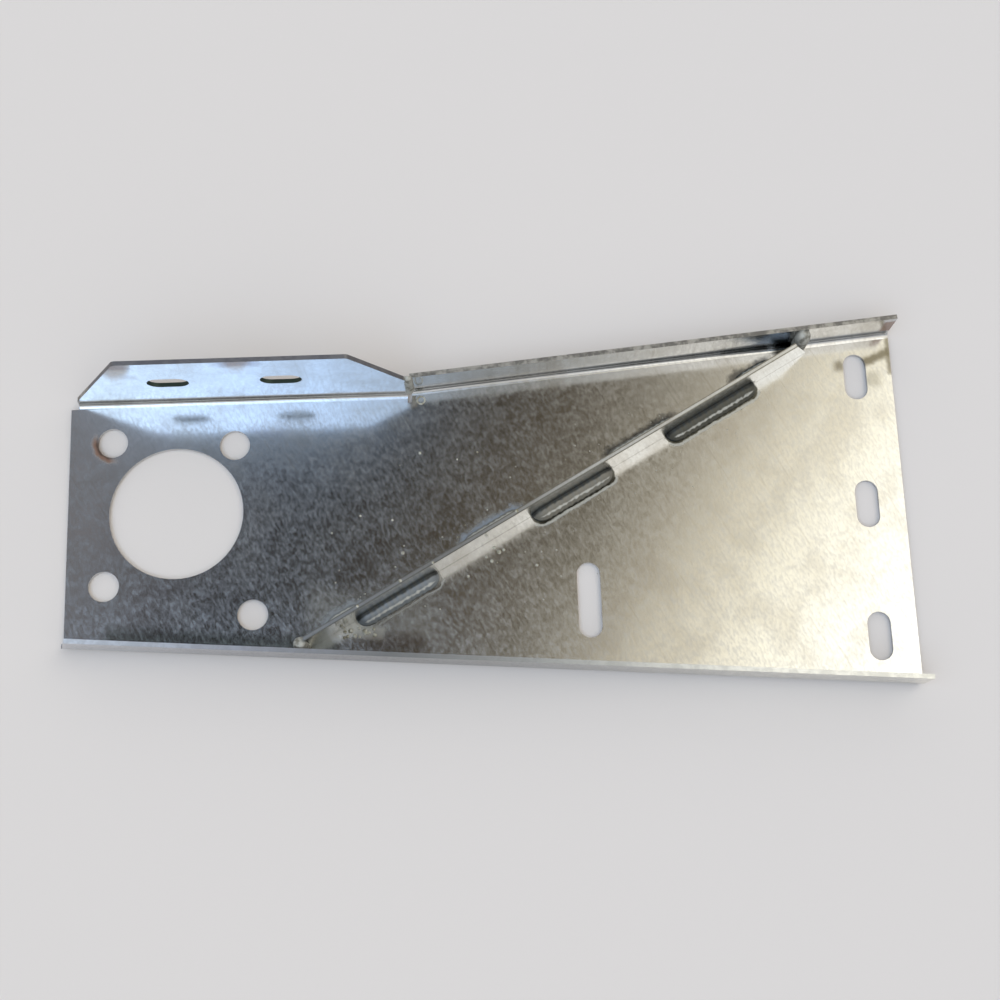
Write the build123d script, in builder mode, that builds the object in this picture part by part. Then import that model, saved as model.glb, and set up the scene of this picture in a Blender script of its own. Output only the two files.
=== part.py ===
from build123d import *
import math
import os

os.makedirs("parts", exist_ok=True)

# Galvanised sheet-steel bracket: one folded plate, one diagonal stiffener and the weld beads
# that join them. Millimetres. The web lies in XY with its back on Z = 0, the folded edges
# stand up along +Z, and the origin is the centre of the main bore on the back face.

# ---- driving dimensions ---------------------------------------------------------------
sheet = 2.5              # thickness of the folded plate
bend_inner = 3.0         # inside radius of every fold
bend_outer = bend_inner + sheet

web_left = -60.5         # left edge of the web
web_right = 409.0        # right edge of the web

flange_height = 26.5     # top and bottom flanges, from the back of the web to the rim
bottom_face_left = -74.6  # outside of the bottom flange at the web's left edge
bottom_slope = -4.3      # degrees, the bottom flange runs down to the right
top_face_left = 69.8     # outside of the top flange where it starts, beside the tab
top_slope = 5.4          # degrees, the top flange runs up to the right
bottom_end_cut = 6.5     # how far the bottom flange's left end leans back at its rim

tab_height = 67.0        # upper left tab, from the back of the web to its rim
tab_face = 68.0          # outside face of the tab
tab_left = -56.0
tab_right = 131.0
tab_rim_left = -22.5     # the rim is shorter than the fold: both ends are cut at a slant
tab_rim_right = 102.0
tab_shoulder = 8.0       # height at which the left slant begins
tab_corner = 3.0         # rounding of the rim's two corners
relief_gap = 2.0         # slit that lets the tab and the top flange fold separately

bore_radius = 37.5
small_hole_radius = 8.5
small_holes = [(-36.5, 42.0), (32.5, 38.5), (-39.5, -40.5), (43.0, -59.0)]

edge_slot_length = 27.0
slot_width = 13.0
edge_slot_x = 388.0
edge_slot_y = -7.5       # middle one of the three
edge_slot_pitch = 75.0
web_slot_length = 42.0
web_slot_centre = (229.0, -57.0)
tab_slot_length = 23.0
tab_slot_middle = 32.0   # half way between the two tab slots
tab_slot_pitch = 62.0
tab_slot_height = 36.0

stiffener_thickness = 2.5
stiffener_height = 27.0
stiffener_angle = 29.5               # degrees from X
stiffener_middle = (222.5, 5.0)      # a point of its lower face line on the web
stiffener_bottom_end = -170.0        # along the stiffener from its middle: square end
stiffener_top_end = 159.0            # along its foot, which stops where the flange's bend begins
stiffener_end_cut = 12.0             # the top end leans back this much up to its rim

bead_radius = 6.5        # stitch welds along the stiffener
bead_ripple = 0.3        # how far each ripple stands proud
bead_pitch = 3.6         # length of one ripple
lower_stitches = [(-140.5, -88.5), (-27.0, 25.5), (62.5, 122.5)]       # along, from the middle
upper_stitches = [(-157.0, -133.0), (-69.0, -30.0), (26.0, 73.0), (112.0, 139.0)]
top_bead_radius = 4.0
top_bead_place = (156.0, 5.2)        # along and across the stiffener, from its middle
bottom_bead_radius = 3.6
bottom_bead_place = (-172.8, 1.2)
corner_bead_radius = 2.7
corner_bead_rise = 1.5   # the bead in the slit ends this far above the flange's rim


# ---- fold lines worked out from the dimensions ------------------------------------------
def along(angle):
    """Unit vector in the plane of the web at an angle from X."""
    return Vector(math.cos(math.radians(angle)), math.sin(math.radians(angle)), 0)


def across(angle):
    """Unit vector a quarter turn to the left of along(angle)."""
    return along(angle + 90)


def meet(point_a, angle_a, point_b, angle_b):
    """Point where two lines of the web's plane cross."""
    reach = (point_b - point_a).dot(across(angle_b)) / along(angle_a).dot(across(angle_b))
    return point_a + along(angle_a) * reach


bottom_outside = Vector(web_left, bottom_face_left, 0)
bottom_fold = bottom_outside + across(bottom_slope) * bend_outer
top_start_x = tab_right + relief_gap
top_outside = Vector(top_start_x, top_face_left, 0)
top_fold = top_outside - across(top_slope) * bend_outer
tab_fold = tab_face - bend_outer

left_edge = Vector(web_left, 0, 0)
right_edge = Vector(web_right, 0, 0)
bottom_left = meet(left_edge, 90, bottom_fold, bottom_slope)
bottom_right = meet(right_edge, 90, bottom_fold, bottom_slope)
top_right = meet(right_edge, 90, top_fold, top_slope)
bottom_length = (bottom_right - bottom_left).length
top_length = (top_right - top_fold).length


def bend_section(height):
    """Section of a folded edge: quarter-round bend, then a straight leg up to the height."""
    with BuildSketch() as section:
        with BuildLine():
            Line((0, sheet), (0, 0))
            RadiusArc((0, 0), (bend_outer, bend_outer), -bend_outer)
            Polyline(
                (bend_outer, bend_outer), (bend_outer, height),
                (bend_inner, height), (bend_inner, bend_outer),
            )
            RadiusArc((bend_inner, bend_outer), (0, sheet), bend_inner)
        make_face()
    return section.sketch


# ---- folded plate -----------------------------------------------------------------------
with BuildPart() as folded_plate:
    with BuildSketch():
        with BuildLine():
            Polyline(
                bottom_left, bottom_right, top_right, top_fold,
                (top_start_x, tab_fold - relief_gap), (tab_right, tab_fold - relief_gap),
                (tab_right, tab_fold), (web_left, tab_fold), close=True,
            )
        make_face()
    extrude(amount=sheet)

    with BuildSketch(Plane(bottom_right, x_dir=-across(bottom_slope), z_dir=-along(bottom_slope))):
        add(bend_section(flange_height))
    extrude(amount=bottom_length)

    with BuildSketch(Plane(top_fold, x_dir=across(top_slope), z_dir=along(top_slope))):
        add(bend_section(flange_height))
    extrude(amount=top_length)

    with BuildSketch(Plane((tab_left, tab_fold, 0), x_dir=(0, 1, 0), z_dir=(1, 0, 0))):
        add(bend_section(tab_shoulder))
    extrude(amount=tab_right - tab_left)

    # the tab above its bend: slanted ends, rounded rim corners
    with BuildSketch(Plane.XZ.offset(-tab_face)) as tab_outline:
        with BuildLine():
            Polyline(
                (tab_left, tab_shoulder), (tab_right, tab_shoulder), (tab_right, flange_height),
                (tab_rim_right, tab_height), (tab_rim_left, tab_height), close=True,
            )
        make_face()
        fillet(tab_outline.vertices().group_by(Axis.Y)[-1], tab_corner)
    extrude(amount=sheet)

    # the bottom flange's left end leans back towards its rim
    with BuildSketch(Plane(bottom_outside, x_dir=along(bottom_slope), z_dir=-across(bottom_slope))):
        with BuildLine():
            Polyline(
                (-sheet, bend_outer), (0, bend_outer),
                (bottom_end_cut, flange_height), (-sheet, flange_height), close=True,
            )
        make_face()
    extrude(amount=-sheet, mode=Mode.SUBTRACT)

    # holes and slots of the web
    with BuildSketch():
        Circle(bore_radius)
        with Locations(*small_holes):
            Circle(small_hole_radius)
        with Locations((edge_slot_x, edge_slot_y)):
            with GridLocations(0, edge_slot_pitch, 1, 3):
                SlotOverall(edge_slot_length, slot_width, rotation=90)
        with Locations(web_slot_centre):
            SlotOverall(web_slot_length, slot_width, rotation=90)
    extrude(amount=sheet, mode=Mode.SUBTRACT)

    # slots of the tab
    with BuildSketch(Plane.XZ.offset(-tab_face)):
        with Locations((tab_slot_middle, tab_slot_height)):
            with GridLocations(tab_slot_pitch, 0, 2, 1):
                SlotOverall(tab_slot_length, slot_width)
    extrude(amount=sheet, mode=Mode.SUBTRACT)

folded_plate.part.label = "folded_plate"
export_step(folded_plate.part, "parts/folded_plate.step")

# ---- diagonal stiffener -----------------------------------------------------------------
run = along(stiffener_angle)
lower_face = Vector(*stiffener_middle, sheet)
upper_face = lower_face + across(stiffener_angle) * stiffener_thickness

with BuildPart() as diagonal_stiffener:
    with BuildSketch(Plane(lower_face, x_dir=run, z_dir=-across(stiffener_angle))):
        with BuildLine():
            Polyline(
                (stiffener_bottom_end, 0), (stiffener_top_end, 0),
                (stiffener_top_end - stiffener_end_cut, stiffener_height),
                (stiffener_bottom_end, stiffener_height), close=True,
            )
        make_face()
    extrude(amount=-stiffener_thickness)

diagonal_stiffener.part.label = "diagonal_stiffener"
export_step(diagonal_stiffener.part, "parts/diagonal_stiffener.step")


# ---- weld beads ---------------------------------------------------------------------------
def bead_outline(length, radius):
    """Half outline of a bead along X: rounded ends and a row of soft ripples between them."""
    count = max(1, round((length - 2 * radius) / bead_pitch))
    half_step = (length - 2 * radius) / count / 2
    wave = [
        (radius + half_step * place, radius + bead_ripple * (place % 2))
        for place in range(2 * count + 1)
    ]
    with BuildSketch() as outline:
        with BuildLine():
            RadiusArc((0, 0), wave[0], radius)
            for first in range(0, 2 * count, 2):
                Spline(*wave[first:first + 3], tangents=[(1, 0), (1, 0)])
            RadiusArc(wave[-1], (length, 0), radius)
            Line((length, 0), (0, 0))
        make_face()
    return outline.sketch


def stitch_points(stitches, face, direction):
    """Start point and length of each stitch, seen along the direction it is laid in."""
    ends = [(face + run * near, face + run * far) for near, far in stitches]
    return [(a if direction > 0 else b, (b - a).length) for a, b in ends]


stitch_rows = {
    "lower_stitch_weld": (lower_stitches, lower_face, -1),
    "upper_stitch_weld": (upper_stitches, upper_face, 1),
}
for row_name, (stitches, face, direction) in stitch_rows.items():
    for number, (start, length) in enumerate(stitch_points(stitches, face, direction), 1):
        root = run * direction
        with BuildPart() as stitch_weld:
            with BuildSketch(Plane(start, x_dir=root, z_dir=(0, 0, 1))):
                add(bead_outline(length, bead_radius))
            revolve(axis=Axis(start, root), revolution_arc=90)
        stitch_weld.part.label = f"{row_name}_{number}"
        export_step(stitch_weld.part, f"parts/{row_name}_{number}.step")

# upright beads fill the gaps between the stiffener's ends and the flanges, and the slit
# between the tab and the top flange
seam_middle = (top_start_x - relief_gap / 2, tab_face - sheet / 6, sheet)
upright_beads = {
    "stiffener_top_weld": (top_bead_place, top_bead_radius, flange_height - sheet),
    "stiffener_bottom_weld": (bottom_bead_place, bottom_bead_radius, flange_height - sheet),
    "corner_weld": (None, corner_bead_radius, flange_height - sheet + corner_bead_rise),
}

for bead_name, (place, radius, length) in upright_beads.items():
    bead_foot = Vector(*seam_middle)
    if place:
        bead_foot = lower_face + run * place[0] + across(stiffener_angle) * place[1]
    with BuildPart() as upright_weld:
        with BuildSketch(Plane(bead_foot, x_dir=(0, 0, 1), z_dir=(0, -1, 0))):
            add(bead_outline(length, radius))
        revolve(axis=Axis(bead_foot, (0, 0, 1)))
        add(folded_plate.part, mode=Mode.SUBTRACT)
        add(diagonal_stiffener.part, mode=Mode.SUBTRACT)
        if not place:  # the corner bead is dressed flush with the tab's outside face
            split(bisect_by=Plane.XZ.offset(-tab_face), keep=Keep.TOP)
    upright_weld.part.label = bead_name
    export_step(upright_weld.part, f"parts/{bead_name}.step")
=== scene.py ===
# %% [markdown]
# # A galvanised sheet-steel bracket
# The bracket is one sheet of steel, laser cut and folded along three sides, with a flat bar
# welded on edge across it. The finished weldment is dipped in molten zinc. Its solids come
# from the imported frame; this lesson gives them their finish, adds the spatter that the welder
# left, and lights the whole as a shiny sheet is lit: with things for it to mirror.

# %% Load the solids
import math
import random

import bmesh
import bpy
from mathutils import Matrix, Vector


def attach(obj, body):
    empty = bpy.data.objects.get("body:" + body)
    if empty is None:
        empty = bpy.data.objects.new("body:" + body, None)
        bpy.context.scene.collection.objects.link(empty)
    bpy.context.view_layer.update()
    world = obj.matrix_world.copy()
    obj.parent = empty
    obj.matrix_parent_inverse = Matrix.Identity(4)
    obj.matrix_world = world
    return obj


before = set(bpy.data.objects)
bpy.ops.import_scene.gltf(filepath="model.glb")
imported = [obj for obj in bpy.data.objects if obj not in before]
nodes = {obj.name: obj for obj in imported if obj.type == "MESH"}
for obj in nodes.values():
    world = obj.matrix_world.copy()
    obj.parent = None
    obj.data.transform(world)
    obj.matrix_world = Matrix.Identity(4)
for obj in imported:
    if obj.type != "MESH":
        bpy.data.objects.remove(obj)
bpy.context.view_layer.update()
MM = 0.001

# %% [markdown]
# ## The camera
# The bracket lies on its back and is seen from above and a little from the side of its low
# front edge, with a moderately long lens, so that its three folded edges all lean the same
# way. The camera is given by its place and by the two directions that its picture's right
# and up edges point in, because that is exact where rotations about three axes are easy
# to muddle.

# %% Set the camera
CAMERA_PLACE = Vector((169.66, -202.1, 820.46)) * MM
PICTURE_RIGHT = Vector((0.99937, -0.03514, 0.00567))
PICTURE_UP = Vector((0.03273, 0.96974, 0.24196))
LENS_MM = 54.0
SENSOR_MM = 36.0


def set_camera():
    """Places the camera by its position and its picture's own right and up."""
    lens = bpy.data.cameras.new("camera")
    lens.lens = LENS_MM
    lens.sensor_width = SENSOR_MM
    lens.clip_start = 0.01
    camera = bpy.data.objects.new("camera", lens)
    towards_viewer = PICTURE_RIGHT.cross(PICTURE_UP)
    turn = Matrix((PICTURE_RIGHT, PICTURE_UP, towards_viewer)).transposed()
    camera.matrix_world = Matrix.Translation(CAMERA_PLACE) @ turn.to_4x4()
    bpy.context.scene.collection.objects.link(camera)
    bpy.context.scene.camera = camera
    return camera


camera = set_camera()
bpy.context.scene.view_settings.view_transform = "Standard"
print("camera", [round(v, 4) for v in camera.matrix_world.translation])

# %% [markdown]
# ## Helpers for colours and nodes
# Colours are written as they are read off a paint card, in sRGB hex, and turned linear in
# one place. Shader nodes are all added by one small function: the menu settings go in a
# dictionary, and each socket gets either a plain value or the node that feeds it. The steps
# that recur, such as a product, a comparison or a smooth fade, have a short name each.


# %% Colours
def linear(hex_colour):
    """An sRGB hex colour as linear RGBA."""
    parts = [int(hex_colour[i:i + 2], 16) / 255 for i in (1, 3, 5)]
    return (*[p / 12.92 if p <= 0.04045 else ((p + 0.055) / 1.055) ** 2.4 for p in parts], 1.0)


# %% Nodes
RGBA = {"data_type": "RGBA"}
SMOOTH = {"interpolation_type": "SMOOTHSTEP"}


def add(tree, kind, menu=None, **sockets):
    """Adds a node with its menu settings, and sets or links its sockets by name."""
    node = tree.nodes.new(kind)
    for name, value in (menu or {}).items():
        setattr(node, name, value)
    for key, value in sockets.items():
        socket = next(
            s for s in node.inputs if key in (s.identifier, s.name.replace(" ", "_"))
        )
        if isinstance(value, bpy.types.Node):
            value = next(s for s in value.outputs if s.enabled)
        if isinstance(value, bpy.types.NodeSocket):
            tree.links.new(value, socket)
        else:
            socket.default_value = value
    return node


def new_material(name):
    """An empty material and its node tree."""
    material = bpy.data.materials.new(name)
    material.use_nodes = True
    material.node_tree.nodes.clear()
    return material, material.node_tree


# %% Sums, comparisons and fades
def maths(tree, operation, first, second):
    """One operation on two values."""
    return add(
        tree, "ShaderNodeMath", {"operation": operation}, Value=first, Value_001=second
    ).outputs["Value"]


def times(tree, first, second):
    """The product of two masks."""
    return maths(tree, "MULTIPLY", first, second)


def most(tree, first, second):
    """The stronger of two masks."""
    return maths(tree, "MAXIMUM", first, second)


def rest_of(tree, mask):
    """What a mask leaves over."""
    return maths(tree, "SUBTRACT", 1.0, mask)


def over(tree, value, threshold):
    """1 where a value is over a threshold."""
    return maths(tree, "GREATER_THAN", value, threshold)


def under(tree, value, threshold):
    """1 where a value is under a threshold."""
    return maths(tree, "LESS_THAN", value, threshold)


def absolute(tree, value):
    """A value without its sign."""
    return add(
        tree, "ShaderNodeMath", {"operation": "ABSOLUTE"}, Value=value
    ).outputs["Value"]


def fade(tree, value, limits, start=0.0, end=1.0):
    """Goes smoothly from start to end while a value goes from one limit to the other."""
    return add(
        tree, "ShaderNodeMapRange", SMOOTH, Value=value, From_Min=limits[0],
        From_Max=limits[1], To_Min=start, To_Max=end,
    ).outputs["Result"]


def spread(tree, share, limits):
    """Turns a share from 0 to 1 into a value between two limits."""
    return add(
        tree, "ShaderNodeMapRange", Value=share, To_Min=limits[0], To_Max=limits[1]
    ).outputs["Result"]


# %% Colours laid over each other or along a line
def mixed(tree, share, first, second):
    """Two colours mixed; the share is the second one's."""
    return add(
        tree, "ShaderNodeMix", RGBA, Factor_Float=share, A_Color=first, B_Color=second
    ).outputs["Result"]


def lay_over(tree, below, colour, mask, share=1.0):
    """Covers a colour with another one where a mask says so."""
    return mixed(tree, times(tree, mask, share), below, colour)


def tone_ramp(tree, place, tones):
    """A colour that depends on a place, from a list of places and colours."""
    first, last = tones[0][0], tones[-1][0]
    share = add(tree, "ShaderNodeMapRange", Value=place, From_Min=first, From_Max=last)
    ramp = add(tree, "ShaderNodeValToRGB", Fac=share)
    stops = ramp.color_ramp.elements
    for at, colour in tones:
        inside = first < at < last
        end = stops[0 if at == first else -1]
        stop = stops.new((at - first) / (last - first)) if inside else end
        stop.color = colour
    return ramp.outputs["Color"]


# %% [markdown]
# ## What the zinc mirrors
# Fresh zinc has hardly a colour of its own: a galvanised sheet looks dark or dazzling
# according to what stands opposite. So the light is a dome around the object, with soft
# fields near the zenith, as black and white boards would be hung over a table. The row of
# boards behind the zenith is what the web mirrors: dark for its left, warm grey for its
# middle, dazzling cream for its right end. The row in front of the zenith is what the
# upright faces and the web show to each other: pale blue at the left, grey, then cream. Two
# soft fields lie over the back row: a bluish glow low behind the left, which the web mirrors
# just over the tab's rim, and a cream haze behind the middle. The low sky in front is dim,
# so each fold reads as a dark line beside a bright one. The dome is the world's own shader,
# worked out from the direction of each ray, so the light has no edge and the floor is
# evenly lit.

# %% The boards
BACKDROP = linear("#dbd9da")
STUDIO_GREY = (0.80, 0.80, 0.80, 1.0)
LOW_FRONT = (0.20, 0.22, 0.24, 1.0)
BOARD_PEAK = 4.0   # a ramp's colours go up to 1, so it holds shares of this radiance
# tints: how much red, green and blue a board gives for each unit of brightness
COOL_GREY = (1.00, 0.96, 1.00)
TAN = (1.00, 0.78, 0.50)
CREAM = (1.00, 0.89, 0.68)
IVORY = (1.00, 0.94, 0.75)
PEARL = (1.00, 0.96, 0.88)
WHITE = (1.00, 1.00, 0.96)
PALE_SKY = (0.64, 0.80, 1.00)
DEEP_SKY = (0.50, 0.68, 1.00)
# place across the row (tangent of the angle from the zenith), brightness, tint
BACK_BOARDS = (
    (-0.26, 0.25, COOL_GREY), (-0.18, 0.05, COOL_GREY), (-0.10, 0.02, TAN),
    (0.02, 0.1, TAN), (0.10, 0.2, CREAM), (0.18, 1.0, CREAM), (0.25, 1.75, IVORY),
    (0.40, 2.5, WHITE),
)
FRONT_BOARDS = (
    (-0.30, 3.0, PALE_SKY), (-0.15, 3.0, DEEP_SKY), (-0.03, 1.25, PALE_SKY),
    (0.05, 0.4, WHITE), (0.10, 0.4, WHITE), (0.20, 1.2, PEARL), (0.26, 1.75, PEARL),
    (0.45, 1.4, PEARL),
)
GLOW = (0.50, 0.66, 0.88, 1.0)
HAZE = (0.78, 0.72, 0.60, 1.0)
HAZE_SHARE = 0.32
BOARD_SLANT = 0.6  # the back boards lean: this much sideways for each step backwards
BOARD_DEPTH = 0.24
# where each field fades in or out: sideways, or backwards from the zenith, as tangents
GLOW_DEPTH = (0.292, 0.318)
GLOW_LEFT = (-0.28, -0.22)
GLOW_RIGHT = (-0.12, -0.02)
HAZE_DEPTH = (0.285, 0.32)
HAZE_LEFT = (0.08, 0.15)
HAZE_RIGHT = (0.18, 0.26)
FRONT_TO_BACK = (-0.02, 0.115)
LOW_FRONT_END = (-4.5, -2.8)
BOARDS_END = (0.75, 1.3)
LOWEST_RAY = 0.05  # rays nearer to the horizon are taken to rise this much


def board_row(tree, place, boards):
    """A row of boards: a light that depends on the place along the row."""
    tones = [
        (at, (*[brightness * part / BOARD_PEAK for part in tint], 1.0))
        for at, brightness, tint in boards
    ]
    return add(
        tree, "ShaderNodeVectorMath", {"operation": "SCALE"},
        Vector=tone_ramp(tree, place, tones), Scale=BOARD_PEAK,
    ).outputs["Vector"]


def field(tree, side, depth, depth_limits, left_limits, right_limits):
    """The mask of a soft field behind the zenith, with a left and a right end."""
    behind = fade(tree, depth, depth_limits)
    left = fade(tree, side, left_limits)
    right = fade(tree, side, right_limits, start=1.0, end=0.0)
    return times(tree, behind, times(tree, left, right))


# %% The dome of light
def light_dome():
    """Builds the world: boards near the zenith, plain grey below them, a flat backdrop."""
    world = bpy.data.worlds.new("studio dome")
    bpy.context.scene.world = world
    world.use_nodes = True
    tree = world.node_tree
    tree.nodes.clear()
    direction = add(tree, "ShaderNodeTexCoord").outputs["Generated"]
    axes = add(tree, "ShaderNodeSeparateXYZ", Vector=direction)
    height = most(tree, axes.outputs["Z"], LOWEST_RAY)
    side = maths(tree, "DIVIDE", axes.outputs["X"], height)
    depth = maths(tree, "DIVIDE", axes.outputs["Y"], height)
    lean = times(tree, maths(tree, "SUBTRACT", depth, BOARD_DEPTH), BOARD_SLANT)
    slanted = maths(tree, "SUBTRACT", side, lean)
    glow = field(tree, side, depth, GLOW_DEPTH, GLOW_LEFT, GLOW_RIGHT)
    haze = field(tree, side, depth, HAZE_DEPTH, HAZE_LEFT, HAZE_RIGHT)
    back = lay_over(tree, board_row(tree, slanted, BACK_BOARDS), GLOW, glow)
    back = lay_over(tree, back, HAZE, haze, HAZE_SHARE)
    front = board_row(tree, side, FRONT_BOARDS)
    overhead = mixed(tree, fade(tree, depth, FRONT_TO_BACK), front, back)
    low_sky = mixed(tree, fade(tree, depth, LOW_FRONT_END), LOW_FRONT, STUDIO_GREY)
    flat = add(tree, "ShaderNodeCombineXYZ", X=side, Y=depth)
    reach = add(tree, "ShaderNodeVectorMath", {"operation": "LENGTH"}, Vector=flat)
    outer = fade(tree, reach.outputs["Value"], BOARDS_END)
    dome = mixed(tree, outer, overhead, low_sky)
    seen = add(tree, "ShaderNodeLightPath").outputs["Is Camera Ray"]
    background = add(
        tree, "ShaderNodeBackground", Color=mixed(tree, seen, dome, BACKDROP), Strength=1.0
    )
    add(tree, "ShaderNodeOutputWorld", Surface=background)
    return world


light_dome()
print("dome:", len(BACK_BOARDS), "boards behind the zenith,", len(FRONT_BOARDS), "in front")

# %% [markdown]
# ## The floor
# A plain pale sheet that the bracket lies on. It is one square, far larger than the view,
# and its colour is a plain matt one, chosen so that under this dome it comes out as the
# backdrop does, with the bracket's soft contact shadow on it.

# %% The floor
FLOOR_HALF_M = 4.0
FLOOR_GAP_MM = 0.3
FLOOR_PAINT = (0.718, 0.668, 0.632, 1.0)


def lay_floor():
    """A large square just under the bracket's back."""
    mesh = bpy.data.meshes.new("floor")
    shape = bmesh.new()
    bmesh.ops.create_grid(
        shape, x_segments=1, y_segments=1, size=FLOOR_HALF_M,
        matrix=Matrix.Translation((0, 0, -FLOOR_GAP_MM * MM)),
    )
    shape.to_mesh(mesh)
    shape.free()
    floor = bpy.data.objects.new("floor", mesh)
    bpy.context.scene.collection.objects.link(floor)
    material, tree = new_material("matt pale floor paint")
    paint = add(tree, "ShaderNodeBsdfDiffuse", Color=FLOOR_PAINT)
    add(tree, "ShaderNodeOutputMaterial", Surface=paint)
    mesh.materials.append(material)
    return floor


lay_floor()
print("floor laid", FLOOR_HALF_M * 2, "m across")

# %% [markdown]
# ## Hot-dip zinc
# Common name: galvanised mild steel. The sheet is hung in molten zinc and drained, which
# leaves a metal skin with fine flow streaks, a faint grain of crystals a few millimetres
# wide, and cloudy patches where it dulls. To the eye that is a half-mirror: the mottle shows
# where the sheet mirrors something dark, because its rough flecks catch light from the
# side, and it vanishes where the sheet mirrors something bright. So the flecks are made
# mostly by roughness, and only a little by colour and bump.

# %% Zinc: sizes and tones of the pattern
ZINC_PALE = linear("#d2d3d3")
ZINC_DULL = linear("#c3c3c2")
ZINC_BROWN = linear("#aaa499")
STREAK_SIZE_MM = (3.2, 1.6, 3.0)
STREAK_TURN = math.radians(112)
RUN_SIZE_MM = (55.0, 1.6, 55.0)
RUN_TURN = math.radians(119)
CRYSTAL_MM = 3.5
CLOUD_MM = 30.0
# where each noise fades in, and how much of the duller tone it then brings
FLECK_LIMITS = (0.36, 0.68)
FLECK_SHARE = 0.6
CLOUD_LIMITS = (0.42, 0.66)
CLOUD_SHARE = 0.32
RUN_LIMITS = (0.55, 0.72)
RUN_SHARE = 0.2
# the skin's roughness is the flecks', changed a little by the crystals and the clouds
FLECK_ROUGHNESS = (0.14, 0.21)
CRYSTAL_ROUGHNESS = (-0.02, 0.02)
CLOUD_ROUGHNESS = (-0.014, 0.012)
DULL_CLOUD_LIMITS = (0.38, 0.62)


def object_millimetres(tree):
    """The point of the object that is being shaded, in millimetres."""
    coordinates = add(tree, "ShaderNodeTexCoord").outputs["Object"]
    return add(
        tree, "ShaderNodeVectorMath", {"operation": "SCALE"}, Vector=coordinates, Scale=1 / MM
    )


def turned_noise(tree, place, turn, size, detail):
    """Noise stretched to a size along axes that are turned about the sheet's normal."""
    local = add(
        tree, "ShaderNodeMapping", {"vector_type": "TEXTURE"},
        Vector=place, Rotation=(0, 0, turn), Scale=size,
    )
    return add(
        tree, "ShaderNodeTexNoise", Vector=local, Scale=1.0, Detail=detail, Roughness=0.62
    )


def zinc_skin(tree, place):
    """The zinc skin's colour, roughness and height, for any piece of the weldment."""
    streaks = turned_noise(tree, place, STREAK_TURN, STREAK_SIZE_MM, detail=3.0)
    runs = turned_noise(tree, place, RUN_TURN, RUN_SIZE_MM, detail=2.0)
    crystals = add(
        tree, "ShaderNodeTexVoronoi", Vector=place, Scale=1 / CRYSTAL_MM, Randomness=1.0
    )
    clouds = add(
        tree, "ShaderNodeTexNoise", Vector=place, Scale=1 / CLOUD_MM, Detail=5.0, Roughness=0.6
    )
    fleck = fade(tree, streaks, FLECK_LIMITS)
    colour = lay_over(tree, ZINC_PALE, ZINC_DULL, fleck, FLECK_SHARE)
    colour = lay_over(tree, colour, ZINC_BROWN, fade(tree, clouds, CLOUD_LIMITS), CLOUD_SHARE)
    colour = lay_over(tree, colour, ZINC_BROWN, fade(tree, runs, RUN_LIMITS), RUN_SHARE)
    crystal_tone = add(tree, "ShaderNodeSeparateColor", Color=crystals.outputs["Color"])
    crystal_rough = spread(tree, crystal_tone.outputs["Red"], CRYSTAL_ROUGHNESS)
    cloud_rough = fade(tree, clouds, DULL_CLOUD_LIMITS, *CLOUD_ROUGHNESS)
    grain_rough = maths(tree, "ADD", crystal_rough, cloud_rough)
    roughness = maths(tree, "ADD", grain_rough, spread(tree, fleck, FLECK_ROUGHNESS))
    return colour, roughness, streaks


# %% [markdown]
# ## Masks
# Everything that is laid over the zinc is placed by a distance in millimetres: from a box
# round a stitch, from the middle of a stain, from the rim of a hole. A mask is 1 near the
# place and fades out, and what is below is covered with a colour by that mask.


# %% Masks
def soft_mask(tree, distance, limits):
    """1 where a distance is under the first limit, fading to 0 at the second."""
    return fade(tree, distance, limits, start=1.0, end=0.0)


def box_distance(tree, place, middle, half):
    """How far the place is outside a box, in the units of the place."""
    offset = add(
        tree, "ShaderNodeVectorMath", {"operation": "SUBTRACT"}, Vector=place, Vector_001=middle
    )
    folded = add(tree, "ShaderNodeVectorMath", {"operation": "ABSOLUTE"}, Vector=offset)
    beyond = add(
        tree, "ShaderNodeVectorMath", {"operation": "SUBTRACT"}, Vector=folded, Vector_001=half
    )
    outside = add(
        tree, "ShaderNodeVectorMath", {"operation": "MAXIMUM"}, Vector=beyond,
        Vector_001=(0, 0, 0),
    )
    length = add(tree, "ShaderNodeVectorMath", {"operation": "LENGTH"}, Vector=outside)
    return length.outputs["Value"]


def ragged(tree, place, distance, size_mm, reach_mm):
    """The same distance with a ragged outline: noise moves it by up to the reach either way."""
    noise = add(
        tree, "ShaderNodeTexNoise", Vector=place, Scale=1 / size_mm, Detail=3.0, Roughness=0.6
    )
    centred = maths(tree, "SUBTRACT", noise, 0.5)
    return maths(tree, "ADD", times(tree, centred, reach_mm * 2), distance)


# %% [markdown]
# ## Where the welder's heat went
# Each stitch burned the zinc beside it: a dark line hugs the bead, and outside that lies a
# pale bloom of zinc oxide, which is a powder and not a mirror. Both follow the bead's
# outline, so they are worked out as a distance from a box around each stitch, in axes that
# run along the stiffener and across it. The far side of the stiffener got hotter: its
# halos run from a pale blue at the lower end to a blue black at the upper one.

# %% The stitches, in the stiffener's own axes
STIFFENER_MIDDLE_MM = (222.5, 5.0, 0.0)
STIFFENER_TURN = math.radians(29.5)
STIFFENER_MM = 2.5
SHEET_MM = 2.5
LOWER_STITCHES_MM = ((-140.5, -88.5), (-27.0, 25.5), (62.5, 122.5))
UPPER_STITCHES_MM = ((-157.0, -133.0), (-69.0, -30.0), (26.0, 73.0), (112.0, 139.0))
SCORCH = linear("#45453d")
BLUED_PALE = linear("#97a5b5")
BLUED_DARK = linear("#2c313a")
BLOOM = linear("#b9b6a8")
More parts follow.
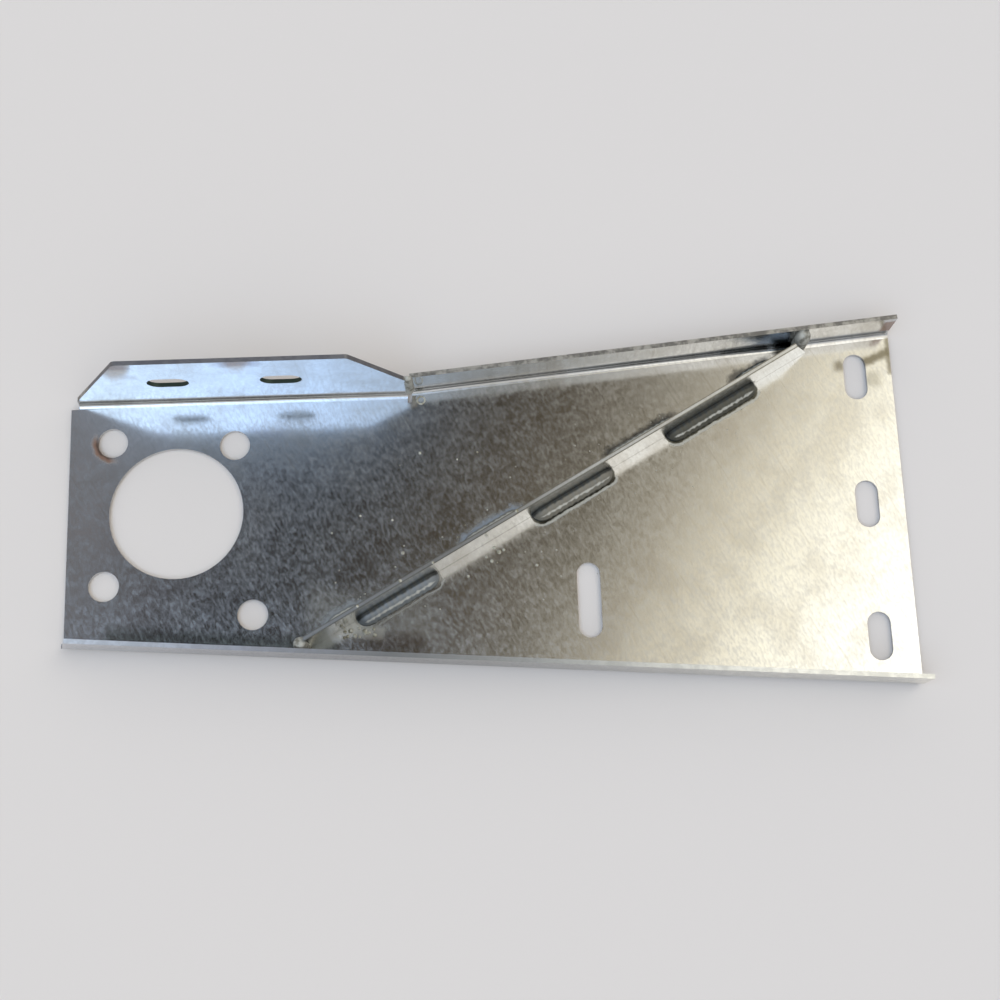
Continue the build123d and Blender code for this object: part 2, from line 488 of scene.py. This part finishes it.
# distances are taken from a box inside each stitch: this much shorter at each end, this
# far off the bar's face, and this half width and half height
BOX_END_MM = 5.0
BOX_OFF_MM = 1.0
BOX_HALF_MM = (0.8, 3.0)
# from the box: where the scorched toe ends, where the bloom round it begins and ends, and
# how far the blue halo behind the stiffener reaches
TOE_MM = (5.2, 6.2)
PAST_TOE_MM = (5.2, 6.0)
BLOOM_MM = (6.4, 7.8)
HALO_MM = (4.6, 9.2)
# across the stiffener: the bloom lies beside the bead, not at its foot
ALONGSIDE_MM = (-4.0, -6.0)
# along the stiffener: where the scorch and the bloom grow from their cold share to their
# full one, and where the blue turned dark
HOTTER_MM = (-95.0, -45.0)
DARK_BLUE_MM = (-25.0, 20.0)
COLD_SHARE = 0.4
TOE_SHARE = 0.95
HALO_SHARE = 0.75
HALO_POWDER = 0.6


def stiffener_axes(tree, place):
    """The place along the stiffener, across it from its lower face, and up."""
    return add(
        tree, "ShaderNodeMapping", {"vector_type": "TEXTURE"},
        Vector=place, Location=STIFFENER_MIDDLE_MM, Rotation=(0, 0, STIFFENER_TURN),
    )


def stitch_distance(tree, axes, stitches, across_middle):
    """Distance from the nearest of a row of stitches, with rounded ends."""
    nearest = None
    for start, end in stitches:
        middle = ((start + end) / 2, across_middle, SHEET_MM)
        half = ((end - start) / 2 - BOX_END_MM, *BOX_HALF_MM)
        distance = box_distance(tree, axes, middle, half)
        if nearest is not None:
            distance = maths(tree, "MINIMUM", nearest, distance)
        nearest = distance
    return nearest


def scorched(tree, place, colour, bloom_share):
    """Lays scorch and bloom round every stitch over a colour; also gives the powder's mask."""
    axes = stiffener_axes(tree, place)
    parts = add(tree, "ShaderNodeSeparateXYZ", Vector=axes)
    along, across = parts.outputs["X"], parts.outputs["Y"]
    lower = stitch_distance(tree, axes, LOWER_STITCHES_MM, -BOX_OFF_MM)
    upper = stitch_distance(tree, axes, UPPER_STITCHES_MM, STIFFENER_MM + BOX_OFF_MM)
    lower = ragged(tree, place, lower, size_mm=6.0, reach_mm=1.4)
    upper = ragged(tree, place, upper, size_mm=4.5, reach_mm=3.6)
    behind = over(tree, across, STIFFENER_MM / 2)
    hot_front = times(tree, rest_of(tree, behind), fade(tree, along, HOTTER_MM, start=COLD_SHARE))
    later = fade(tree, along, DARK_BLUE_MM)
    blued = lay_over(tree, BLUED_PALE, BLUED_DARK, later)
    ring = times(tree, soft_mask(tree, lower, BLOOM_MM), fade(tree, lower, PAST_TOE_MM))
    bloom = times(tree, ring, times(tree, fade(tree, across, ALONGSIDE_MM), hot_front))
    toe = times(tree, soft_mask(tree, lower, TOE_MM), hot_front)
    halo = times(tree, soft_mask(tree, upper, HALO_MM), behind)
    colour = lay_over(tree, colour, BLOOM, bloom, bloom_share)
    colour = lay_over(tree, colour, SCORCH, toe, TOE_SHARE)
    colour = lay_over(tree, colour, blued, halo, HALO_SHARE)
    pale_halo = times(tree, times(tree, halo, rest_of(tree, later)), HALO_POWDER)
    powder = maths(tree, "ADD", times(tree, bloom, bloom_share), pale_halo)
    return colour, powder


print("stitches:", len(LOWER_STITCHES_MM) + len(UPPER_STITCHES_MM))

# %% [markdown]
# ## Stains, rust, cut edges and painted shade
# The bracket has lain about: a few stains, a dark streak from the upper slot to the edge,
# rust creeping out of the upper left hole. Where the sheet was cut, along the rims and in
# the slots, the zinc is thin, rough and dirty, and the slot walls are painted dark as shade.
# Shade is also painted in the corner at the stiffener's upper end, along the inside of the
# lower fold and on faces turned to the table. The lower flange's leg is narrow and seen almost
# edge on, so what it would mirror is painted on as a row of light and dark tones from left to
# right: a painted reflection.

# %% Stains, rust, cut edges and painted shade
# a dark grey-olive: laid on as streaks and darker arrises, and as painted shade at the bar's foot
# and on faces turned to the table
GRIME_AND_SHADE = linear("#6f6a5c")
SOOT_AND_SHADE = linear("#232320")
RUST = linear("#7d5232")
FOLD_SHADE = linear("#6c6f62")
EARTH = linear("#6f5c46")
MAUVE = linear("#857a80")
RIM_PALE = linear("#a8a49c")
RIM_DARK = linear("#74716c")
TAB_RIM = linear("#6c6b70")
SLOT_WALL_SHADE = linear("#3d4740")
ABOVE_FOLDS_MM = 9.0
# middle, half size, turn in degrees, blur, colour, share, and how matt it is
# stains and patches of painted shade, listed alike
STAINS_AND_SHADE = (
    # a dark streak from the upper slot to the edge
    ((379.3, 74.4, 2.5), (0.6, 0.6, 2.0), 0, 4.5, GRIME_AND_SHADE, 0.75, 0.0),
    ((399.5, 78.5, 2.5), (8.5, 0.6, 2.0), 22, 4.0, GRIME_AND_SHADE, 0.9, 0.0),
    ((408.5, 80.0, 2.5), (0.3, 10.0, 2.0), 0, 2.6, GRIME_AND_SHADE, 0.75, 0.0),
    ((398.0, 66.0, 2.5), (1.5, 1.5, 2.0), 0, 6.0, GRIME_AND_SHADE, 0.4, 0.0),
    ((406.5, 93.5, 15.0), (2.5, 2.0, 6.0), 0, 3.0, RUST, 0.8, 0.6),
    # painted shadow in the narrow corner between the stiffener's upper end and the flange
    ((347.5, 85.5, 5.0), (3.0, 1.5, 7.0), 5, 4.5, SOOT_AND_SHADE, 0.95, 0.0),
    ((70.0, -79.5, 4.0), (2.0, 0.8, 2.0), -4, 2.5, SOOT_AND_SHADE, 0.9, 0.0),
    ((100.0, -69.5, 2.5), (14.0, 2.0, 2.0), -10, 4.0, BLOOM, 0.5, 0.5),
    ((108.0, -61.0, 2.5), (28.0, 4.0, 2.0), -8, 15.0, BLOOM, 0.35, 0.14),
    # painted shade: a dark band along the inside of the lower fold
    ((26.0, -73.5, 2.5), (60.0, 1.0, 2.0), -4.3, 9.0, FOLD_SHADE, 0.65, 0.0),
    ((122.0, -77.5, 2.5), (12.0, 1.0, 2.0), -4.3, 8.0, EARTH, 0.5, 0.0),
    ((-21.0, 66.0, 64.0), (3.0, 2.0, 1.0), 0, 6.0, MAUVE, 0.6, 0.0),
    ((43.0, 66.0, 65.0), (8.0, 2.0, 1.0), 0, 8.0, MAUVE, 0.6, 0.0),
    ((-17.0, 66.0, 47.0), (1.5, 2.0, 1.5), 0, 4.5, MAUVE, 0.3, 0.0),
)
# the lower flange's leg: place from the left, then the tone of its painted reflection there
LOWER_FLANGE_REFLECTION = (
    (-60.0, "#d4d6da"), (40.0, "#9a999e"), (120.0, "#6c6b68"), (200.0, "#9c9a94"),
    (320.0, "#f4f0e4"),
)
STAIN_GRAIN_MM = 3.5
STAIN_RAGGED = 0.35   # how ragged a stain's outline is, as a share of its blur
RUSTY_HOLE_MM = (-36.5, 42.0, 2.5)
RUST_LEANS = (-0.80, -0.60, 0.0)
# from the hole's middle: where the rust fades out, where its black edge does, and how far
# towards the leaning side the rust fades in
RUST_MM = (10.2, 13.0)
RUST_EDGE_MM = (8.8, 10.2)
RUST_SIDE_MM = (2.5, 8.0)
RUST_SHARE = 0.85
RUST_EDGE_SHARE = 0.6
RUST_POWDER = 0.75
TAB_SLOTS_MM = ((1.0, 66.75, 36.0), (63.0, 66.75, 36.0))
SLOT_HALF_MM = (11.0, 3.0, 6.0)
SLOT_WALL_MM = (1.0, 1.5)
EDGE_ON = 0.6          # a face whose normal has less of Y than this is an edge
FACING_DOWN = -0.12    # a face whose normal has less of Z than this faces the table
OFF_TABLE_MM = 0.15    # what lies lower is the bracket's plain back
RIM_GRAIN_MM = 5.0
RIM_LIMITS = (0.38, 0.62)
TAB_FROM_Z_MM = 28.0   # rims above this are the tab's
# the lower flange's leg is what lies beyond this Y and above this Z
LOWER_LEG_Y_MM = -60.0
LOWER_LEG_Z_MM = 5.5


def stained_and_shaded(tree, place, colour, powder):
    """Lays every stain and painted shade in the list over a colour, each with a ragged outline.
    """
    for middle, half, turn, blur, patch_colour, share, matt in STAINS_AND_SHADE:
        local = add(
            tree, "ShaderNodeMapping", {"vector_type": "TEXTURE"},
            Vector=place, Location=middle, Rotation=(0, 0, math.radians(turn)),
        )
        distance = box_distance(tree, local, (0, 0, 0), half)
        distance = ragged(tree, place, distance, STAIN_GRAIN_MM, blur * STAIN_RAGGED)
        mask = soft_mask(tree, distance, (0.0, blur))
        colour = lay_over(tree, colour, patch_colour, mask, share)
        if matt:
            powder = most(tree, powder, times(tree, mask, matt))
    return colour, powder


def rusty(tree, place, colour, powder):
    """Rust that creeps out of one side of the upper left hole."""
    offset = add(
        tree, "ShaderNodeVectorMath", {"operation": "SUBTRACT"}, Vector=place,
        Vector_001=RUSTY_HOLE_MM,
    )
    radius = add(tree, "ShaderNodeVectorMath", {"operation": "LENGTH"}, Vector=offset)
    lean = add(
        tree, "ShaderNodeVectorMath", {"operation": "DOT_PRODUCT"}, Vector=offset,
        Vector_001=RUST_LEANS,
    )
    reach = ragged(tree, place, radius.outputs["Value"], size_mm=2.5, reach_mm=1.2)
    side = fade(tree, lean.outputs["Value"], RUST_SIDE_MM)
    near = times(tree, soft_mask(tree, reach, RUST_MM), side)
    edge = times(tree, soft_mask(tree, reach, RUST_EDGE_MM), side)
    colour = lay_over(tree, colour, RUST, near, RUST_SHARE)
    colour = lay_over(tree, colour, SOOT_AND_SHADE, edge, RUST_EDGE_SHARE)
    return colour, most(tree, powder, times(tree, near, RUST_POWDER))


def normal_part(tree, axis):
    """One part of the surface's own normal."""
    normal = add(tree, "ShaderNodeTexCoord").outputs["Normal"]
    return add(tree, "ShaderNodeSeparateXYZ", Vector=normal).outputs[axis]


def edged(tree, place, colour):
    """Tones of the rims, painted shade on the slot walls and undersides, and the painted
    reflection on the lower flange; also the cut's mask.
    """
    parts = add(tree, "ShaderNodeSeparateXYZ", Vector=place)
    edge_on = under(tree, absolute(tree, normal_part(tree, "Y")), EDGE_ON)
    cut = times(tree, over(tree, parts.outputs["Z"], ABOVE_FOLDS_MM), edge_on)
    mottle = add(
        tree, "ShaderNodeTexNoise", Vector=place, Scale=1 / RIM_GRAIN_MM, Detail=4.0,
        Roughness=0.65,
    )
    patchy = fade(tree, mottle, RIM_LIMITS)
    rim = lay_over(tree, RIM_PALE, RIM_DARK, patchy)
    rim = lay_over(tree, rim, TAB_RIM, over(tree, parts.outputs["Z"], TAB_FROM_Z_MM), share=0.8)
    upper_cut = times(tree, cut, over(tree, parts.outputs["Y"], 0.0))
    colour = lay_over(tree, colour, rim, upper_cut)
    tones = [(at, linear(tone)) for at, tone in LOWER_FLANGE_REFLECTION]
    low = under(tree, parts.outputs["Y"], LOWER_LEG_Y_MM)
    leg = times(tree, low, over(tree, parts.outputs["Z"], LOWER_LEG_Z_MM))
    # the lower flange's leg gets a row of light and dark tones from left to right: a painted
    # reflection
    painted_reflection = tone_ramp(tree, parts.outputs["X"], tones)
    painted_reflection = lay_over(tree, painted_reflection, RIM_DARK, patchy, share=0.25)
    colour = lay_over(tree, colour, painted_reflection, leg, share=0.9)
    # the walls of the tab's slots are painted dark: painted shade inside the slots
    for middle in TAB_SLOTS_MM:
        from_slot = box_distance(tree, place, middle, SLOT_HALF_MM)
        shaded_wall = times(tree, soft_mask(tree, from_slot, SLOT_WALL_MM), cut)
        colour = lay_over(tree, colour, SLOT_WALL_SHADE, shaded_wall)
    # faces turned to the table, above the plain back, are painted dark: painted shade
    downward = under(tree, normal_part(tree, "Z"), FACING_DOWN)
    underside = times(tree, downward, over(tree, parts.outputs["Z"], OFF_TABLE_MM))
    return lay_over(tree, colour, GRIME_AND_SHADE, underside, share=0.8), cut


# %% [markdown]
# ## The sheet and the stiffener
# Both are the same steel under the same zinc, with the same layers over it. Powder and cut
# metal don't mirror as the skin does, so the masks that colour them also roughen them.

# %% Sheet and stiffener
BAR_HEIGHT_MM = 27.0
ARRIS_MM = 0.55
BAR_TOP_MM = SHEET_MM + BAR_HEIGHT_MM
CUT_DEPTH_MM = 0.05   # the bar's cut rim is what lies within this of its top
# the band above the bar's foot that is darkened: painted shade where the bar meets the web
FOOT_SHADE_MM = (SHEET_MM + 0.2, SHEET_MM + 1.2)
LIGHTER_RIM_MM = (-80.0, 30.0)   # along the bar, from its darker end upwards
SKIN_RELIEF_MM = 0.035


def zinc_shader(tree, colour, roughness, streaks, powder, cut, cut_roughness):
    """The finish itself: a metal, but dull where there is powder and rough where it was cut."""
    rough_grey = (cut_roughness, cut_roughness, cut_roughness, 1.0)
    bump = add(
        tree, "ShaderNodeBump", Height=streaks, Strength=0.25, Distance=SKIN_RELIEF_MM * MM
    )
    shader = add(
        tree, "ShaderNodeBsdfPrincipled", Base_Color=colour, Metallic=rest_of(tree, powder),
        Roughness=lay_over(tree, roughness, rough_grey, cut), Normal=bump,
    )
    add(tree, "ShaderNodeOutputMaterial", Surface=shader)


def zinc_sheet():
    """Hot-dip galvanised sheet: the zinc skin, scorched by the stitches, stained in places."""
    material, tree = new_material("hot-dip galvanised steel sheet")
    place = object_millimetres(tree)
    colour, roughness, streaks = zinc_skin(tree, place)
    colour, powder = scorched(tree, place, colour, bloom_share=0.75)
    colour, powder = stained_and_shaded(tree, place, colour, powder)
    colour, powder = rusty(tree, place, colour, powder)
    colour, cut = edged(tree, place, colour)
    zinc_shader(tree, colour, roughness, streaks, powder, cut, cut_roughness=0.5)
    return material


def from_middle_plane(tree, axes):
    """Distance from the stiffener's middle plane."""
    return absolute(tree, maths(tree, "SUBTRACT", axes.outputs["Y"], STIFFENER_MM / 2))


def zinc_flat_bar():
    """Galvanised flat bar: the same skin; darker arrises and lower rim end; painted shade at its
    foot.
    """
    material, tree = new_material("hot-dip galvanised flat bar")
    place = object_millimetres(tree)
    colour, roughness, streaks = zinc_skin(tree, place)
    colour, powder = scorched(tree, place, colour, bloom_share=0.0)
    axes = add(tree, "ShaderNodeSeparateXYZ", Vector=stiffener_axes(tree, place))
    level = axes.outputs["Z"]
    outer = over(tree, from_middle_plane(tree, axes), STIFFENER_MM / 2 - ARRIS_MM)
    arris = times(tree, over(tree, level, BAR_TOP_MM - ARRIS_MM), outer)
    # the arrises along the bar's top are darkened
    colour = lay_over(tree, colour, GRIME_AND_SHADE, arris, share=0.8)
    # painted shade along the foot of the bar
    colour = lay_over(tree, colour, GRIME_AND_SHADE, soft_mask(tree, level, FOOT_SHADE_MM), share=0.8)
    cut = over(tree, level, BAR_TOP_MM - CUT_DEPTH_MM)
    # the cut rim is darker towards the bar's lower end
    darker_end = fade(tree, axes.outputs["X"], LIGHTER_RIM_MM, start=0.7, end=0.0)
    colour = lay_over(tree, colour, RIM_DARK, times(tree, cut, darker_end))
    zinc_shader(tree, colour, roughness, streaks, powder, cut, cut_roughness=0.32)
    return material


# %% [markdown]
# ## The weld beads
# A stitch bead is laid in one pass. Its toes are scorched almost black and its crest bears a
# painted highlight, so seen from above it reads as a dark outline with a pale streak in it.
# The upright beads at the stiffener's ends and at the corner are covered by the zinc, but
# unevenly, so they are lumpy and patchy, between a murky tone and a pale one.

# %% Weld metal
BEAD_COOL = linear("#7d8183")
BEAD_OLIVE = linear("#7b776c")
BEAD_BURNT = linear("#4b493f")
BEAD_TOE = linear("#2e2f2b")
BEAD_CREST_HIGHLIGHT = linear("#d8d6cc")
BEAD_PALE = linear("#b5b3aa")
BEAD_MURKY = linear("#7d7a70")
SPATTER_TAN = linear("#8f8974")
SPATTER_PALE = linear("#c2bfb2")
# along the stiffener: where the beads turn from cool to olive, and then to burnt
OLIVE_MM = (-95.0, -20.0)
BURNT_MM = (50.0, 62.0)
# from the nearer of the bead's two toes: where the dark toe ends and the painted highlight begins
DARK_TOE_MM = (0.9, 2.2)
CREST_HIGHLIGHT_MM = (3.8, 4.6)
LUMP_MM = 3.0
PATCHY_LIMITS = (0.35, 0.6)


def bead_shader(tree, place, colour, grain_mm, height_mm, metal, roughness):
    """Weld metal with a lumpy grain."""
    grain = add(
        tree, "ShaderNodeTexNoise", Vector=place, Scale=1 / grain_mm, Detail=3.0, Roughness=0.6
    )
    bump = add(tree, "ShaderNodeBump", Height=grain, Strength=0.5, Distance=height_mm * MM)
    shader = add(
        tree, "ShaderNodeBsdfPrincipled", Base_Color=colour, Metallic=metal,
        Roughness=roughness, Normal=bump,
    )
    add(tree, "ShaderNodeOutputMaterial", Surface=shader)


def stitch_metal():
    """As-laid stitch bead: dark toes, a painted highlight on its crest, cooler at the lower end.
    """
    material, tree = new_material("as-laid steel weld bead")
    place = object_millimetres(tree)
    axes = add(tree, "ShaderNodeSeparateXYZ", Vector=stiffener_axes(tree, place))
    from_bar = maths(tree, "SUBTRACT", from_middle_plane(tree, axes), STIFFENER_MM / 2)
    from_web = maths(tree, "SUBTRACT", axes.outputs["Z"], SHEET_MM)
    from_toe = maths(tree, "MINIMUM", from_bar, from_web)
    from_toe = ragged(tree, place, from_toe, size_mm=2.6, reach_mm=1.1)
    olive = fade(tree, axes.outputs["X"], OLIVE_MM)
    burnt = fade(tree, axes.outputs["X"], BURNT_MM)
    colour = lay_over(tree, BEAD_COOL, BEAD_OLIVE, olive)
    colour = lay_over(tree, colour, BEAD_BURNT, burnt, share=0.9)
    # a pale streak painted along the crest: a painted highlight
    colour = lay_over(tree, colour, BEAD_CREST_HIGHLIGHT, fade(tree, from_toe, CREST_HIGHLIGHT_MM), share=0.7)
    colour = lay_over(tree, colour, BEAD_TOE, soft_mask(tree, from_toe, DARK_TOE_MM), share=0.95)
    bead_shader(tree, place, colour, grain_mm=2.2, height_mm=0.4, metal=0.4, roughness=0.5)
    return material


def lumpy_metal(name, murky, pale):
    """Weld metal that the zinc covered: patchy between two tones, and lumpy."""
    material, tree = new_material(name)
    place = object_millimetres(tree)
    grain = add(
        tree, "ShaderNodeTexNoise", Vector=place, Scale=1 / LUMP_MM, Detail=3.0, Roughness=0.55
    )
    colour = lay_over(tree, murky, pale, fade(tree, grain, PATCHY_LIMITS))
    bead_shader(tree, place, colour, grain_mm=2.4, height_mm=0.5, metal=0.45, roughness=0.62)
    return material


# %% Give every solid its finish
def give_finish(node, material):
    """Puts one material on a carried-over solid, in place of what came with it."""
    node.data.materials.clear()
    node.data.materials.append(material)


sheet_zinc = zinc_sheet()
bar_zinc = zinc_flat_bar()
stitch_bead = stitch_metal()
pale_bead = lumpy_metal("galvanised steel weld bead", BEAD_MURKY, BEAD_PALE)
pale_spatter = lumpy_metal("galvanised steel weld spatter", SPATTER_TAN, SPATTER_PALE)
for name, node in nodes.items():
    if "stitch" in name:
        give_finish(node, stitch_bead)
    elif "weld" in name:
        give_finish(node, pale_bead)
    else:
        give_finish(node, sheet_zinc if name == "folded_plate" else bar_zinc)
finishes = (sheet_zinc, bar_zinc, stitch_bead, pale_bead, pale_spatter)
print("finishes:", [finish.name for finish in finishes])

# %% [markdown]
# ## Spatter
# Droplets of weld metal flew off the arc and froze where they landed: a few big ones that
# can be picked out, a patch of small ones by the lowest stitch, and fine specks on both
# sides of the stiffener. Each is a low dome sunk a little into the skin it sticks to, and
# all of them are one piece of the scene.

# %% Spatter
# middle and radius of the big droplets, all on the web
BIG_DROPLETS_MM = (
    (179.9, -28.2, 1.5), (177.2, -25.6, 1.1), (182.6, -27.0, 1.0), (175.8, -33.2, 1.2),
    (172.9, -30.9, 0.9), (200.7, -36.3, 0.9), (137.2, 30.5, 0.9), (126.4, -27.0, 1.1),
    (124.4, -42.8, 0.8), (120.9, -8.0, 0.7), (103.0, -5.0, 0.7), (162.4, -41.5, 0.9),
)
# along the stiffener, across it, and radius of those on the bar's rim
RIM_DROPLETS_MM = ((-110.0, 1.4, 1.1), (-36.5, 1.6, 1.2), (-136.5, 1.5, 0.9), (-90.0, 0.8, 0.9))
PATCH_MIDDLE_MM = (103.0, -70.5)
PATCH_HALF_MM = (11.0, 3.2)
PATCH_DROPLETS = 16
PATCH_RADII_MM = (0.8, 1.7)
RING_MM = (138.4, 61.8, 2.2, 0.45)   # middle, radius, radius of its wire
RING_TURNS = 20
RING_SIDES = 6
RING_RAISED = 0.3    # share of the wire's radius by which its middle is over the skin
FINE_SPECKS = 55
SPECK_RADII_MM = (0.25, 0.55)
SPECKS_ALONG_MM = (-150, 110)
SPECKS_FROM_MM = 9   # nearest to the stiffener
SPECKS_THIN_MM = 14  # how far out from there they lie on average
WEB_HALF_MM = 62     # specks farther than this from the X axis could lie on a fold
SUNK = 0.35          # share of a droplet's radius that is under the skin
DROPLET_SQUASH = 0.8
random.seed(7)


def add_droplet(shape, x, y, level, radius):
    """A low round droplet on a flat face at a level, everything in millimetres."""
    middle = Vector((x, y, level - SUNK * radius)) * MM
    squash = Matrix.Diagonal((1.0, 1.0, DROPLET_SQUASH, 1.0))
    bmesh.ops.create_icosphere(
        shape, subdivisions=2, radius=radius * MM, matrix=Matrix.Translation(middle) @ squash
    )


def add_ring(shape, x, y, ring_radius, wire_radius):
    """A burst bubble: a low ring on the web."""
    rows = []
    for i in range(RING_TURNS):
        angle = math.tau * i / RING_TURNS
        row = []
        for j in range(RING_SIDES):
            tilt = math.tau * j / RING_SIDES
            out = ring_radius + wire_radius * math.cos(tilt)
            level = SHEET_MM + wire_radius * (RING_RAISED + math.sin(tilt))
            corner = Vector((x + out * math.cos(angle), y + out * math.sin(angle), level))
            row.append(shape.verts.new(corner * MM))
        rows.append(row)
    for i in range(RING_TURNS):
        near, far = rows[i], rows[(i + 1) % RING_TURNS]
        for j in range(RING_SIDES):
            k = (j + 1) % RING_SIDES
            shape.faces.new((near[j], far[j], far[k], near[k]))


def from_stiffener(along, across):
    """A point of the web given along the stiffener and across it."""
    turn = Matrix.Rotation(STIFFENER_TURN, 2)
    return turn @ Vector((along, across)) + Vector(STIFFENER_MIDDLE_MM[:2])


# %% Lay the spatter
def lay_spatter():
    """Every droplet as one mesh, carried by the bracket."""
    shape = bmesh.new()
    for x, y, radius in BIG_DROPLETS_MM:
        add_droplet(shape, x, y, SHEET_MM, radius)
    for along, across, radius in RIM_DROPLETS_MM:
        x, y = from_stiffener(along, across)
        add_droplet(shape, x, y, BAR_TOP_MM, radius)
    for _ in range(PATCH_DROPLETS):
        x = PATCH_MIDDLE_MM[0] + random.uniform(-1, 1) * PATCH_HALF_MM[0]
        y = PATCH_MIDDLE_MM[1] + random.uniform(-1, 1) * PATCH_HALF_MM[1]
        add_droplet(shape, x, y, SHEET_MM, random.uniform(*PATCH_RADII_MM))
    for _ in range(FINE_SPECKS):
        side = random.choice((-1, 1))
        along = random.uniform(*SPECKS_ALONG_MM)
        across = SPECKS_FROM_MM + random.expovariate(1 / SPECKS_THIN_MM)
        x, y = from_stiffener(along, side * across)
        if abs(y) < WEB_HALF_MM:
            add_droplet(shape, x, y, SHEET_MM, random.uniform(*SPECK_RADII_MM))
    add_ring(shape, *RING_MM)
    mesh = bpy.data.meshes.new("weld_spatter")
    shape.to_mesh(mesh)
    shape.free()
    for face in mesh.polygons:
        face.use_smooth = True
    spatter = bpy.data.objects.new("weld_spatter", mesh)
    bpy.context.scene.collection.objects.link(spatter)
    mesh.materials.append(pale_spatter)
    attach(spatter, "root")
    return spatter


spatter = lay_spatter()
print("spatter faces:", len(spatter.data.polygons))

# %% Finish
print("finished")
